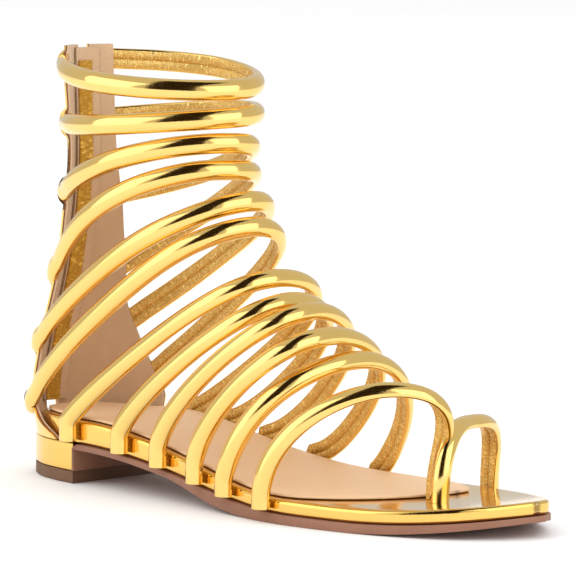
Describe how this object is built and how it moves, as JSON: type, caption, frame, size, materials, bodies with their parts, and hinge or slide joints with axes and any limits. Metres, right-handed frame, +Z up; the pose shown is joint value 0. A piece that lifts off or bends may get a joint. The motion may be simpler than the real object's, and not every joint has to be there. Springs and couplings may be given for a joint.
{
  "type": "gladiator sandal",
  "caption": "Flat right-foot sandal with round instep and ankle straps, a toe ring, a low heel block and a zipped back panel.",
  "frame": {"origin": "middle of the shoe's bounding box, on the floor that the shoe stands on", "axes": "+X from the heel to the toe, +Y to the inner side of the foot, +Z up"},
  "size_m": [0.2502, 0.0932, 0.1635],
  "materials": {
    "mirror_gold": "mirror-finish metallic gold leather",
    "crinkled_gold": "crinkled metallic gold lining leather",
    "quarter_leather": "beige suede lining with a metallic gold outside",
    "sock_leather": "smooth matt natural leather",
    "outsole_leather": "smooth brown sole leather",
    "heel_rubber": "brown heel rubber",
    "zip_tape": "woven zip tape with metal teeth",
    "zip_metal": "polished gold-coloured metal"
  },
  "bodies": {
    "sandal": {"outsole": "outsole_leather", "midsole_board": "mirror_gold", "insole_sock": "sock_leather", "heel_block": "mirror_gold", "heel_top_piece": "heel_rubber", "back_quarter_medial": "quarter_leather", "back_quarter_lateral": "quarter_leather", "zip_tape": "zip_tape", "zip_guard": "crinkled_gold", "zip_slider": "zip_metal", "ankle_strap_1": "mirror_gold", "ankle_strap_2": "mirror_gold", "ankle_strap_3": "mirror_gold", "ankle_strap_4": "mirror_gold", "ankle_strap_5": "mirror_gold", "ankle_strap_6": "mirror_gold", "instep_strap_1": "mirror_gold", "instep_strap_2": "mirror_gold", "instep_strap_3": "mirror_gold", "instep_strap_4": "mirror_gold", "instep_strap_5": "mirror_gold", "toe_strap_and_ring": "mirror_gold"},
    "zip_pull": {"zip_pull": "zip_metal"}
  },
  "joints": [
    {"name": "zip_pull_swing", "type": "hinge", "parent": "sandal", "child": "zip_pull", "pos_m": [-0.11264, -0.00015, 0.157], "axis": [0, 1, 0], "range_deg": [0, 150]}
  ]
}
